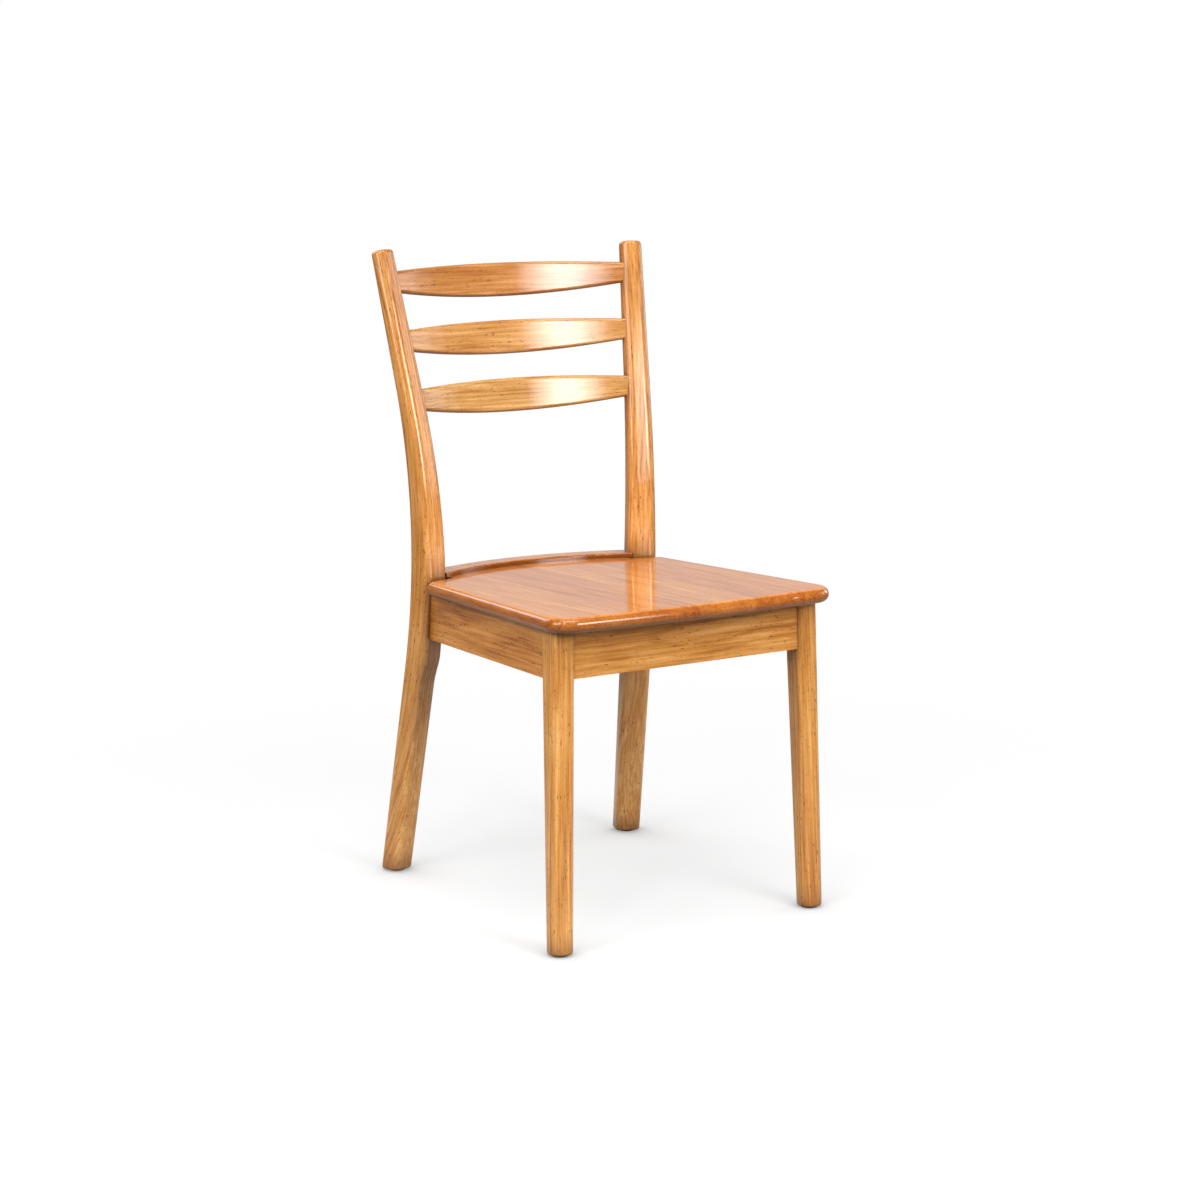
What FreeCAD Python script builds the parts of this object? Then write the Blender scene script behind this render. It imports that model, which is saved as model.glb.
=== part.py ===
# Ladderback dining chair in solid wood: one object per piece, sizes in the sheet "Sizes".
# Millimetres and degrees. +Z is up, the chair faces -Y, left is -X.
# The origin is on the floor, under the middle of the chair.
import FreeCAD, Part
import Sketcher
import math
import os

Vector = FreeCAD.Vector
Rotation = FreeCAD.Rotation
Placement = FreeCAD.Placement

doc = FreeCAD.newDocument("ladderback_chair")

# Driving dimensions

SIZES = [
    ("overall_height", 889.0, "floor to the middle of each post's top"),
    ("seat_height", 451.2, "floor to the seat's top at its front edge"),
    ("seat_slope", 2.0, "fall of the seat and apron frame to the rear, degrees"),
    ("seat_front_reach", 271.3, "origin to the front edge of the seat"),
    ("seat_front_width", 447.6, "across the front corners before rounding"),
    ("seat_rear_width", 393.0, "across the seat level with the posts' front faces"),
    ("seat_front_bow", 13.3, "the front edge's middle ahead of its ends"),
    ("seat_corner_radius", 38.0, "rounding of the front corners in plan"),
    ("seat_rear_corner_radius", 13.0, "rounding of the rear corners in plan"),
    ("seat_thickness", 20.0, "flat part of the seat"),
    ("seat_nose_radius", 9.6, "rounding of the seat's edge, above and below"),
    ("post_gap", 0.3, "between the seat and the posts"),
    ("lip_height", 6.8, "raised rear edge above the seat"),
    ("lip_front_bow", 42.7, "the lip's front line, middle behind ends"),
    ("lip_rear_bow", 38.0, "the lip's rear line, middle behind ends"),
    ("lip_edge_radius", 2.4, "rounding along the lip's top"),
    ("lip_end_length", 5.0, "the lip reaches this far round a post's rounded edge"),
    ("seam_far_left", -105.0, "joint between the two left staves, from the middle"),
    ("seam_left", -12.0, "joint left of the centre stave"),
    ("seam_right", 79.0, "joint right of the centre stave"),
    ("seam_far_right", 162.0, "joint between the two right staves"),
    ("post_spread", 339.8, "between the middles of the posts' front faces at the seat"),
    ("post_set_back", 144.4, "origin to those middles"),
    ("post_turn", 19.07, "each post is turned outward about the vertical, degrees"),
    ("post_front_radius", 12.0, "rounding along the front edges of the posts"),
    ("post_rear_radius", 8.0, "rounding along their rear edges"),
    ("post_top_radius", 5.0, "rounding round a post's top"),
    ("post_foot_rake", 73.9, "a foot's front edge behind the face at the seat"),
    ("post_foot_depth", 33.1, "front to back at the floor"),
    ("post_step_low_height", 285.0, "lower end of the step under the side apron"),
    ("post_step_low_set", 24.5, "set back of the front face there"),
    ("post_step_high_height", 318.0, "upper end of that step"),
    ("post_step_high_set", 13.7, "set back of the front face there"),
    ("post_land_height", 430.0, "top of the flat that the side apron meets"),
    ("post_bend_height", 557.0, "corner of the front line, before it is rounded"),
    ("post_waist_height", 505.0, "corner of the rear line, before it is rounded"),
    ("post_waist_set", 15.2, "set back of that corner"),
    ("post_top_rake", 85.5, "the top's front edge behind the face at the seat"),
    ("post_top_depth", 21.0, "front to back at the top"),
    ("post_top_drop", 5.4, "the top falls this much from front to back"),
    ("post_front_bend_radius", 1000.0, "rounding of the front line's corner"),
    ("post_land_bend_radius", 200.0, "rounding at the top of the flat"),
    ("post_step_radius", 55.0, "rounding at both ends of the step"),
    ("post_rear_bend_radius", 985.0, "rounding of the rear line's corner"),
    ("post_foot_inner", 21.7, "inner face from the post's middle line, at the floor"),
    ("post_foot_outer", 16.3, "outer face from the same line"),
    ("post_rail_height", 345.0, "height where a post is thickest"),
    ("post_ease_length", 52.0, "the side faces turn over this far above and below"),
    ("post_rail_inner", 23.0, "inner face there"),
    ("post_rail_outer", 21.8, "outer face there"),
    ("post_top_inner", 13.5, "inner face at the top"),
    ("post_top_outer", 19.1, "outer face at the top"),
    ("leg_foot_spread", 402.6, "between the middles of the front feet"),
    ("leg_foot_reach", 230.6, "origin to the middles of the front feet"),
    ("leg_top_spread", 383.4, "between the middles of the front legs at the seat"),
    ("leg_top_reach", 212.1, "origin to the same middles"),
    ("leg_foot_width", 34.0, "a front leg's width at the foot"),
    ("leg_top_width", 33.0, "a front leg's width at the seat"),
    ("leg_foot_radius", 16.4, "rounding of a front leg's edges at the foot, nearly round"),
    ("leg_top_radius", 5.0, "rounding of a front leg's edges at the seat"),
    ("foot_rounding", 3.0, "rounding round the bottom of each leg"),
    ("apron_height", 65.0, "all four aprons"),
    ("apron_thickness", 20.0, "all four aprons"),
    ("apron_setback", 3.0, "apron faces behind the front legs' faces"),
    ("side_apron_post_offset", 15.0, "outer face from a post's middle line"),
    ("rear_apron_inset", 9.0, "rear apron behind the inner front edge of the posts"),
    ("slat_top_height", 845.8, "middle of the top slat at its ends"),
    ("slat_middle_height", 765.1, "middle of the middle slat at its ends"),
    ("slat_bottom_height", 683.8, "middle of the bottom slat at its ends"),
    ("slat_end_width", 30.6, "a slat's height at its ends"),
    ("slat_centre_width", 48.0, "a slat's height at its middle"),
    ("slat_thickness", 14.0, "front to back"),
    ("slat_bow", 34.0, "a slat's middle behind its ends"),
    ("slat_lean", 9.0, "a slat leans back, degrees"),
    ("slat_setback", 4.4, "a slat's front behind the post's front face"),
    ("slat_edge_radius", 4.5, "rounding along a slat"),
    ("tenon_length", 14.0, "a slat's tenon inside the post"),
    ("tenon_thickness", 8.0, "front to back"),
    ("tenon_width", 19.0, "its height"),
    ("tenon_clearance", 0.15, "all round a tenon"),
    ("joint_end_gap", 1.0, "beyond the end of a tenon or dowel, for glue"),
    ("dowel_diameter", 8.0, "fluted dowels at the apron joints"),
    ("dowel_length", 32.0, "half of it in each piece"),
    ("dowel_clearance", 0.05, "round a dowel"),
    ("dowel_edge", 17.0, "upper and lower dowels from the edges of an apron"),
    ("dowel_stagger", 9.0, "side apron dowels higher than the front ones"),
    ("block_leg", 70.0, "a corner block along each apron"),
    ("block_corner_cut", 30.0, "its corner cut off, clear of the leg"),
    ("block_height", 28.0, "height of a corner block"),
    ("block_screw_spacing", 60.0, "between the two screws of a block"),
    ("block_screw_drop", 20.0, "those screws below the top of the block"),
    ("screw_head_diameter", 8.0, "countersunk wood screws"),
    ("screw_shank_diameter", 4.0, "the same screws"),
    ("screw_tip_length", 4.0, "the same screws"),
    ("block_screw_length", 30.0, "block to apron"),
    ("seat_screw_length", 38.0, "block to seat"),
    ("screw_clearance", 0.1, "round a screw"),
    ("screw_sink", 1.2, "a head below the wood"),
    ("glide_diameter", 24.0, "round glide under each foot"),
    ("glide_height", 2.5, "the legs stand this far off the floor"),
    ("glide_recess_diameter", 9.0, "hollow for the nail head"),
    ("nail_head_diameter", 6.5, "glide nail"),
    ("nail_head_height", 0.8, "glide nail"),
    ("nail_shank_diameter", 2.2, "glide nail"),
    ("nail_length", 17.0, "glide nail, below its head"),
    ("nail_clearance", 0.05, "round a nail"),
]

# Sizes worked out from the ones above

DERIVED = [
    ("turn_sin", "=sin(post_turn * 1deg)"),
    ("turn_cos", "=cos(post_turn * 1deg)"),
    ("slope_sin", "=sin(seat_slope * 1deg)"),
    ("slope_cos", "=cos(seat_slope * 1deg)"),
    ("seat_front_half", "=seat_front_width / 2"),
    ("seat_front_radius", "=(seat_front_half^2 + seat_front_bow^2) / (2 * seat_front_bow)"),
    ("post_half_spread", "=post_spread / 2"),
    ("post_foot_back", "=post_foot_rake + post_foot_depth"),
    ("post_top_back", "=post_top_rake + post_top_depth"),
    ("post_front_top", "=overall_height + post_top_drop / 2"),
    ("post_back_top", "=overall_height - post_top_drop / 2"),
    ("post_blank_top", "=overall_height + 30"),
    ("post_blank_side", "=post_rail_inner + 20"),
    ("post_blank_width", "=2 * post_blank_side"),
    ("post_lean", "=post_top_rake / (post_front_top - post_bend_height)"),
    ("post_inner_taper", "=(post_rail_inner - post_top_inner) / (overall_height - post_rail_height)"),
    ("post_outer_taper", "=(post_rail_outer - post_top_outer) / (overall_height - post_rail_height)"),
    ("post_inner_flare", "=(post_rail_inner - post_foot_inner) / post_rail_height"),
    ("post_outer_flare", "=(post_rail_outer - post_foot_outer) / post_rail_height"),
    ("post_ease_low", "=post_rail_height - post_ease_length"),
    ("post_ease_high", "=post_rail_height + post_ease_length"),
    ("post_inner_low", "=post_rail_inner - post_inner_flare * post_ease_length"),
    ("post_inner_high", "=post_rail_inner - post_inner_taper * post_ease_length"),
    ("post_outer_low", "=post_rail_outer - post_outer_flare * post_ease_length"),
    ("post_outer_high", "=post_rail_outer - post_outer_taper * post_ease_length"),
    ("post_inner_radius", "=2 * post_ease_length / (post_inner_flare + post_inner_taper)"),
    ("post_outer_radius", "=2 * post_ease_length / (post_outer_flare + post_outer_taper)"),
    ("post_inner_end", "=post_rail_inner - post_inner_taper * (post_blank_top - post_rail_height)"),
    ("post_outer_end", "=post_rail_outer - post_outer_taper * (post_blank_top - post_rail_height)"),
    ("seat_face_inner", "=post_rail_inner - post_inner_taper * (seat_height - 15 - post_rail_height)"),
    ("seat_post_y", "=(post_set_back + seat_front_reach) * slope_cos"),
    ("seat_side_slope", "=(seat_front_width - seat_rear_width) / 2 / (seat_post_y - seat_front_bow)"),
    ("corner_half", "=(seat_rear_width / 2 - seat_side_slope * (post_half_spread - seat_rear_width / 2)"
                    " * turn_sin / turn_cos)"),
    ("corner_y", "=seat_post_y - (corner_half - post_half_spread) * turn_sin / turn_cos"),
    ("inner_corner_x", "=post_half_spread - seat_face_inner * turn_cos"),
    ("inner_corner_y", "=seat_post_y + seat_face_inner * turn_sin"),
    ("rear_end_x", "=inner_corner_x + 38 * turn_sin"),
    ("rear_end_y", "=inner_corner_y + 38 * turn_cos"),
    ("lip_end_x", "=inner_corner_x + lip_end_length * turn_cos"),
    ("lip_end_y", "=inner_corner_y - lip_end_length * turn_sin"),
    ("lip_front_radius", "=(lip_end_x^2 + lip_front_bow^2) / (2 * lip_front_bow)"),
    ("lip_rear_radius", "=(rear_end_x^2 + lip_rear_bow^2) / (2 * lip_rear_bow)"),
    ("apron_top", "=seat_thickness"),
    ("front_apron_y", "=(seat_front_reach - leg_top_reach - leg_top_width / 2) * slope_cos"
                      " + seat_thickness * slope_sin + apron_setback"),
    ("front_apron_inner_y", "=front_apron_y + apron_thickness"),
    ("leg_back_y", "=front_apron_y - apron_setback + leg_top_width"),
    ("leg_half_top", "=leg_top_spread / 2"),
    ("side_front_x", "=leg_half_top + leg_top_width / 2 - apron_setback"),
    ("side_rear_x", "=post_half_spread + side_apron_post_offset * turn_cos"),
    ("side_rear_y", "=seat_post_y - side_apron_post_offset * turn_sin"),
    ("side_taper", "=(side_front_x - side_rear_x) / (side_rear_y - leg_back_y)"),
    ("side_taper_angle", "=atan(side_taper) / 1deg"),
    ("side_across", "=apron_thickness * sqrt(1 + side_taper^2)"),
    ("side_start_y", "=leg_back_y - leg_top_width / 2"),
    ("side_end_y", "=side_rear_y + 14"),
    ("side_start_x", "=side_front_x + side_taper * (leg_back_y - side_start_y)"),
    ("side_end_x", "=side_front_x - side_taper * (side_end_y - leg_back_y)"),
    ("side_start_inner", "=side_start_x - side_across"),
    ("side_end_inner", "=side_end_x - side_across"),
    ("rear_apron_y", "=inner_corner_y + rear_apron_inset"),
    ("front_block_x", "=side_front_x - side_across + side_taper * (leg_back_y - front_apron_inner_y)"),
    ("rear_block_x", "=side_front_x - side_across - side_taper * (rear_apron_y - leg_back_y)"),
    ("leg_foot_half", "=leg_foot_width / 2"),
    ("leg_sole_half", "=leg_foot_half - 0.6 * foot_rounding"),
    ("leg_sole_radius", "=leg_foot_radius - 0.6 * foot_rounding"),
    ("leg_bevel_half", "=leg_foot_half - 0.18 * foot_rounding"),
    ("leg_bevel_radius", "=leg_foot_radius - 0.18 * foot_rounding"),
    ("leg_bevel_rise", "=0.32 * foot_rounding"),
    ("leg_top_half", "=leg_top_width / 2"),
    ("leg_rise", "=seat_height + 20 - glide_height"),
    ("leg_joint_rise", "=seat_height - seat_thickness - glide_height"),
    ("leg_shift_x", "=-(leg_foot_spread - leg_top_spread) / 2 * leg_rise / leg_joint_rise"),
    ("leg_shift_y", "=(leg_foot_reach - leg_top_reach) * leg_rise / leg_joint_rise"),
]

sheet = doc.addObject("Spreadsheet::Sheet", "Sizes")
for row, (name, value, note) in enumerate(SIZES, start=1):
    sheet.set(f"A{row}", note)
    sheet.set(f"B{row}", str(value))
    sheet.setAlias(f"B{row}", name)
for row, (name, formula) in enumerate(DERIVED, start=len(SIZES) + 1):
    sheet.set(f"B{row}", formula)
    sheet.setAlias(f"B{row}", name)
doc.recompute()


def size(name):
    """A value from the sheet; a leading minus turns its sign."""
    if name == "0":
        return 0.0
    sign = -1.0 if name.startswith("-") else 1.0
    return sign * float(getattr(sheet, name.lstrip("-")))


def cell(name):
    """The same value as an expression."""
    return "-Sizes." + name[1:] if name.startswith("-") else "Sizes." + name


# Tools for sketches and bodies

def new_body(label):
    body = doc.addObject("PartDesign::Body", label)
    body.Label = label
    return body


def new_sketch(body, name, role, height=None):
    """A sketch on one of the body's own origin planes, moved off it by a size if one is named."""
    sketch = body.newObject("Sketcher::SketchObject", name)
    plane = [f for f in body.Origin.OriginFeatures if f.Role == role][0]
    sketch.AttachmentSupport = [(plane, "")]
    sketch.MapMode = "FlatFace"
    if height:
        sketch.AttachmentOffset = Placement(Vector(0, 0, size(height)), Rotation())
        sketch.setExpression("AttachmentOffset.Base.z", cell(height))
    return sketch


def arc_middle(p, q, radius):
    """A point midway on the shorter arc from p to q; a negative radius bulges to the right."""
    chord = q - p
    rise = abs(radius) - math.sqrt(radius * radius - chord.Length * chord.Length / 4)
    left = Vector(-chord.y, chord.x, 0).normalize()
    return (p + q) / 2 + left * math.copysign(rise, radius)


def draw(sketch, corners, arcs=None):
    """A closed outline through named corners. arcs: edge number -> (radius name, bulge side)."""
    arcs = arcs or {}
    points = [Vector(size(x), size(y), 0) for x, y in corners]
    first = sketch.GeometryCount
    count = len(points)
    for i, point in enumerate(points):
        following = points[(i + 1) % count]
        if i in arcs:
            name, side = arcs[i]
            middle = arc_middle(point, following, side * size(name))
            sketch.addGeometry(Part.Arc(point, middle, following), False)
        else:
            sketch.addGeometry(Part.LineSegment(point, following), False)
    starts, ends = [], []
    for i, point in enumerate(points):
        at_start = (sketch.getPoint(first + i, 1) - point).Length < 1e-4
        starts.append(1 if at_start else 2)
        ends.append(2 if at_start else 1)
    for i in range(count):
        following = first + (i + 1) % count
        join = Sketcher.Constraint("Coincident", first + i, ends[i], following, starts[(i + 1) % count])
        sketch.addConstraint(join)
    for i, (x, y) in enumerate(corners):
        pin(sketch, first + i, starts[i], "DistanceX", x)
        pin(sketch, first + i, starts[i], "DistanceY", y)
    for i, (name, side) in arcs.items():
        index = sketch.addConstraint(Sketcher.Constraint("Radius", first + i, size(name)))
        sketch.setExpression(f"Constraints[{index}]", cell(name))


def pin(sketch, line, point, kind, name):
    """Ties one coordinate of a point to a size, or puts the point on an axis."""
    if name == "0":
        axis = -2 if kind == "DistanceX" else -1
        sketch.addConstraint(Sketcher.Constraint("PointOnObject", line, point, axis))
        return
    index = sketch.addConstraint(Sketcher.Constraint(kind, -1, 1, line, point, size(name)))
    sketch.setExpression(f"Constraints[{index}]", cell(name))


def pad(body, sketch, length, middle=False, reverse=False):
    feature = body.newObject("PartDesign::Pad", "Pad")
    feature.Profile = sketch
    feature.setExpression("Length", cell(length))
    feature.SideType = "Symmetric" if middle else "One side"
    feature.Reversed = reverse
    doc.recompute()
    return feature


def pocket_through(body, sketch):
    """Cuts right through on both sides of the sketch, and checks that something went."""
    before = body.Shape.Volume
    feature = body.newObject("PartDesign::Pocket", "Pocket")
    feature.Profile = sketch
    feature.Type = "ThroughAll"
    feature.SideType = "Symmetric"
    doc.recompute()
    if body.Shape.Volume > before - 1.0:
        raise RuntimeError(body.Label + ": the pocket cuts nothing")
    return feature


def round_edges(body, radius, wanted, kind="Fillet"):
    """Rounds or bevels the edges of the tip whose middle and direction pass the test."""
    tip = body.Tip
    names = []
    for number, edge in enumerate(tip.Shape.Edges, start=1):
        middle = edge.valueAt((edge.FirstParameter + edge.LastParameter) / 2)
        run = edge.Vertexes[-1].Point - edge.Vertexes[0].Point
        if wanted(middle, run, edge):
            names.append(f"Edge{number}")
    if not names:
        raise RuntimeError(body.Label + ": no edge to round")
    feature = body.newObject("PartDesign::" + kind, kind)
    feature.Base = (tip, names)
    feature.setExpression("Radius" if kind == "Fillet" else "Size", cell(radius))
    doc.recompute()
    return feature


def place(piece, base, axis=Vector(0, 0, 1), angle=None):
    """Places a piece; base and angle are sizes by name, so it follows them."""
    piece.Placement = Placement(Vector(*[size(n) for n in base]), Rotation(axis, size(angle) if angle else 0))
    for letter, name in zip("xyz", base):
        if name != "0":
            piece.setExpression("Placement.Base." + letter, cell(name))
    if angle:
        piece.setExpression("Placement.Rotation.Angle", cell(angle))


def cut(label, base, tools):
    """The base less the tools."""
    together = tools[0]
    if len(tools) > 1:
        together = doc.addObject("Part::Compound", label + "_tools")
        together.Links = tools
    piece = doc.addObject("Part::Cut", label)
    piece.Label = label
    piece.Base = base
    piece.Tool = together
    return piece


def mirror(label, source):
    """The same piece on the other side of the chair."""
    piece = doc.addObject("Part::Mirroring", label)
    piece.Label = label
    piece.Source = source
    piece.Normal = Vector(1, 0, 0)
    return piece


def copies(label, shape, places):
    """One piece set in each of its places, kept as separate solids of one node."""
    solids = []
    for number, spot in enumerate(places, start=1):
        solid = doc.addObject("Part::Feature", f"{label}_{number}")
        solid.Shape = shape.copy()
        solid.Placement = spot
        solids.append(solid)
    group = doc.addObject("Part::Compound", label)
    group.Label = label
    group.Links = solids
    return group


# The seat frame: x to the right, y back along the seat, z square to it, from the front edge's middle

seat_frame = Placement(Vector(0, -size("seat_front_reach"), size("seat_height")),
                       Rotation(Vector(1, 0, 0), -size("seat_slope")))


def lay_on_seat(piece):
    """Puts a piece drawn in the seat frame where the seat is."""
    place(piece, ("0", "0", "seat_height"), Vector(1, 0, 0))
    piece.Placement = seat_frame
    piece.setExpression("Placement.Base.y", cell("-seat_front_reach"))
    piece.setExpression("Placement.Rotation.Angle", "-Sizes.seat_slope * 1deg")


def seat_spot(x, y, z, rotation=Rotation()):
    """A place given in the seat frame."""
    return seat_frame.multiply(Placement(Vector(x, y, z), rotation))


# The rear posts, drawn with x outward, y backward, z up

post_frame = Placement(Vector(size("post_half_spread"), size("post_set_back"), 0),
                       Rotation(Vector(0, 0, 1), -size("post_turn")))


def post_spot(x, y, z, rotation=Rotation()):
    """A place given in the right post's own directions."""
    return post_frame.multiply(Placement(Vector(x, y, z), rotation))


def post_inner(height):
    """The inner face of a post, from its middle line, above its thickest place."""
    return size("post_rail_inner") - size("post_inner_taper") * (height - size("post_rail_height"))


def post_face(height):
    """Set back of the front face, along its straight upper run."""
    return size("post_lean") * (height - size("post_bend_height"))


def at_corner(height, depth):
    """Finds an edge across the post by its place in the side view."""
    def wanted(middle, run, edge):
        near = abs(middle.z - size(height)) < 0.5 and abs(middle.y - size(depth)) < 0.5
        return near and abs(run.x) > 5
    return wanted


def post_body():
    body = new_body("post_body")
    side = new_sketch(body, "post_side", "YZ_Plane")
    draw(side, [("post_foot_rake", "glide_height"), ("post_foot_back", "glide_height"),
                ("post_waist_set", "post_waist_height"), ("post_top_back", "post_back_top"),
                ("post_top_rake", "post_front_top"), ("0", "post_bend_height"),
                ("0", "post_land_height"), ("post_step_high_set", "post_step_high_height"),
                ("post_step_low_set", "post_step_low_height")])
    pad(body, side, "post_blank_width", middle=True)
    round_edges(body, "post_rear_bend_radius", at_corner("post_waist_height", "post_waist_set"))
    round_edges(body, "post_front_bend_radius", at_corner("post_bend_height", "0"))
    round_edges(body, "post_land_bend_radius", at_corner("post_land_height", "0"))
    round_edges(body, "post_step_radius", at_corner("post_step_high_height", "post_step_high_set"))
    round_edges(body, "post_step_radius", at_corner("post_step_low_height", "post_step_low_set"))
    front = new_sketch(body, "post_front", "XZ_Plane")
    draw(front, [("-post_foot_inner", "0"), ("-post_inner_low", "post_ease_low"),
                 ("-post_inner_high", "post_ease_high"), ("-post_inner_end", "post_blank_top"),
                 ("-post_blank_width", "post_blank_top"), ("-post_blank_width", "0")],
         {1: ("post_inner_radius", 1)})
    draw(front, [("post_foot_outer", "0"), ("post_blank_width", "0"),
                 ("post_blank_width", "post_blank_top"), ("post_outer_end", "post_blank_top"),
                 ("post_outer_high", "post_ease_high"), ("post_outer_low", "post_ease_low")],
         {4: ("post_outer_radius", 1)})
    pocket_through(body, front)
    low, high = size("glide_height"), size("overall_height") - size("post_top_drop")
    upright = lambda middle, run: abs(run.z) > 0.8 * run.Length and low < middle.z < high
    side_view = body.Shape.copy()

    def in_front(middle):
        across = [wire.BoundBox for wire in side_view.slice(Vector(0, 0, 1), middle.z)]
        return 2 * middle.y < min(b.YMin for b in across) + max(b.YMax for b in across)

    round_edges(body, "post_front_radius",
                lambda middle, run, edge: upright(middle, run) and in_front(middle))
    round_edges(body, "post_rear_radius",
                lambda middle, run, edge: upright(middle, run) and not in_front(middle))
    round_edges(body, "post_top_radius",
                lambda middle, run, edge: middle.z > high and edge.BoundBox.ZLength < 8)
    round_edges(body, "foot_rounding", lambda middle, run, edge: edge.BoundBox.ZMax < low + 0.01)
    place(body, ("post_half_spread", "post_set_back", "0"), angle="post_turn")
    body.setExpression("Placement.Rotation.Angle", "-Sizes.post_turn * 1deg")
    body.Placement = post_frame
    return body


# The front legs, from a rounded square foot to a squarer top

def leg_section(body, name, half, radius, shift):
    """A rounded square on the leg's way up; shift names how far it is moved along x, y and z."""
    sketch = new_sketch(body, name, "XY_Plane")
    sketch.AttachmentOffset = Placement(Vector(*[size(n) for n in shift]), Rotation())
    for letter, value in zip("xyz", shift):
        if value != "0":
            sketch.setExpression("AttachmentOffset.Base." + letter, cell(value))
    a, r = size(half), size(radius)
    flat = a - r
    corners = [(1, 1, 0), (-1, 1, 90), (-1, -1, 180), (1, -1, 270)]
    for x, y, start in corners:
        circle = Part.Circle(Vector(x * flat, y * flat, 0), Vector(0, 0, 1), r)
        angles = math.radians(start), math.radians(start + 90)
        sketch.addGeometry(Part.ArcOfCircle(circle, *angles), False)
    for i in range(4):
        p = sketch.getPoint(i, 2)
        q = sketch.getPoint((i + 1) % 4, 1)
        line = sketch.addGeometry(Part.LineSegment(p, q), False)
        sketch.addConstraint(Sketcher.Constraint("Tangent", i, 2, line, 1))
        sketch.addConstraint(Sketcher.Constraint("Tangent", line, 2, (i + 1) % 4, 1))
        kind = "Horizontal" if i % 2 == 0 else "Vertical"
        sketch.addConstraint(Sketcher.Constraint(kind, line))
    index = sketch.addConstraint(Sketcher.Constraint("Radius", 0, r))
    sketch.setExpression(f"Constraints[{index}]", cell(radius))
    for i in range(1, 4):
        sketch.addConstraint(Sketcher.Constraint("Equal", 0, i))
    for point, sign, kind in ((3, 1, "X"), (3, 1, "Y"), (3, -1, "X"), (3, -1, "Y")):
        arc = 0 if sign > 0 else 2
        index = sketch.addConstraint(Sketcher.Constraint("Distance" + kind, -1, 1, arc, point, sign * flat))
        sketch.setExpression(f"Constraints[{index}]", f"{sign} * (Sizes.{half} - Sizes.{radius})")
    return sketch


def leg_body():
    body = new_body("leg_body")
    sole = leg_section(body, "leg_sole", "leg_sole_half", "leg_sole_radius", ("0", "0", "0"))
    bevel = leg_section(body, "leg_bevel", "leg_bevel_half", "leg_bevel_radius", ("0", "0", "leg_bevel_rise"))
    foot = leg_section(body, "leg_foot", "leg_foot_half", "leg_foot_radius", ("0", "0", "foot_rounding"))
    top = leg_section(body, "leg_top", "leg_top_half", "leg_top_radius",
                      ("leg_shift_x", "leg_shift_y", "leg_rise"))
    loft = body.newObject("PartDesign::AdditiveLoft", "Loft")
    loft.Profile = sole
    loft.Sections = [bevel, foot, top]
    loft.Ruled = True
    doc.recompute()
    body.Placement = Placement(Vector(size("leg_foot_spread") / 2, -size("leg_foot_reach"),
                                      size("glide_height")), Rotation())
    body.setExpression("Placement.Base.x", "Sizes.leg_foot_spread / 2")
    body.setExpression("Placement.Base.y", "-Sizes.leg_foot_reach")
    body.setExpression("Placement.Base.z", "Sizes.glide_height")
    return body


# The aprons, drawn in the seat frame and scribed to the legs

def straight_apron(label, start, half_length):
    """A board across the chair, flush under the seat."""
    board = doc.addObject("Part::Box", label)
    board.setExpression("Length", f"2 * Sizes.{half_length}")
    board.setExpression("Width", "Sizes.apron_thickness")
    board.setExpression("Height", "Sizes.apron_height")
    board.Placement = seat_spot(-size(half_length), size(start), -size("seat_thickness") - size("apron_height"))
    return board


def side_apron_body():
    body = new_body("side_apron_body")
    plan = new_sketch(body, "side_apron_plan", "XY_Plane", "-apron_top")
    draw(plan, [("side_start_x", "side_start_y"), ("side_end_x", "side_end_y"),
                ("side_end_inner", "side_end_y"), ("side_start_inner", "side_start_y")])
    pad(body, plan, "apron_height", reverse=True)
    lay_on_seat(body)
    return body


# The seat blank, before it is parted into staves

def seat_body():
    body = new_body("seat_body")
    corners = [("-seat_front_half", "seat_front_bow"), ("seat_front_half", "seat_front_bow"),
               ("corner_half", "corner_y"), ("inner_corner_x", "inner_corner_y"),
               ("rear_end_x", "rear_end_y"), ("-rear_end_x", "rear_end_y"),
               ("-inner_corner_x", "inner_corner_y"), ("-corner_half", "corner_y")]
    plan = new_sketch(body, "seat_plan", "XY_Plane")
    draw(plan, corners, {0: ("seat_front_radius", -1), 4: ("lip_rear_radius", -1)})
    pad(body, plan, "seat_thickness", reverse=True)
    front, back = size("seat_front_bow"), size("corner_y")
    upright = lambda run: abs(run.z) > 0.9 * run.Length
    round_edges(body, "seat_corner_radius",
                lambda middle, run, edge: upright(run) and abs(middle.y - front) < 1)
    round_edges(body, "seat_rear_corner_radius",
                lambda middle, run, edge: upright(run) and abs(middle.y - back) < 1)
    reach = size("inner_corner_y") - 1
    round_edges(body, "seat_nose_radius",
                lambda middle, run, edge: middle.y < reach and not upright(run))
    lip = new_sketch(body, "lip_plan", "XY_Plane")
    draw(lip, [("lip_end_x", "lip_end_y"), ("rear_end_x", "rear_end_y"),
               ("-rear_end_x", "rear_end_y"), ("-lip_end_x", "lip_end_y")],
         {1: ("lip_rear_radius", -1), 3: ("lip_front_radius", 1)})
    pad(body, lip, "lip_height")
    top = size("lip_height")
    round_edges(body, "lip_edge_radius",
                lambda middle, run, edge: middle.z > top - 0.01 and abs(middle.x) < 5)
    lay_on_seat(body)
    return body


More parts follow.
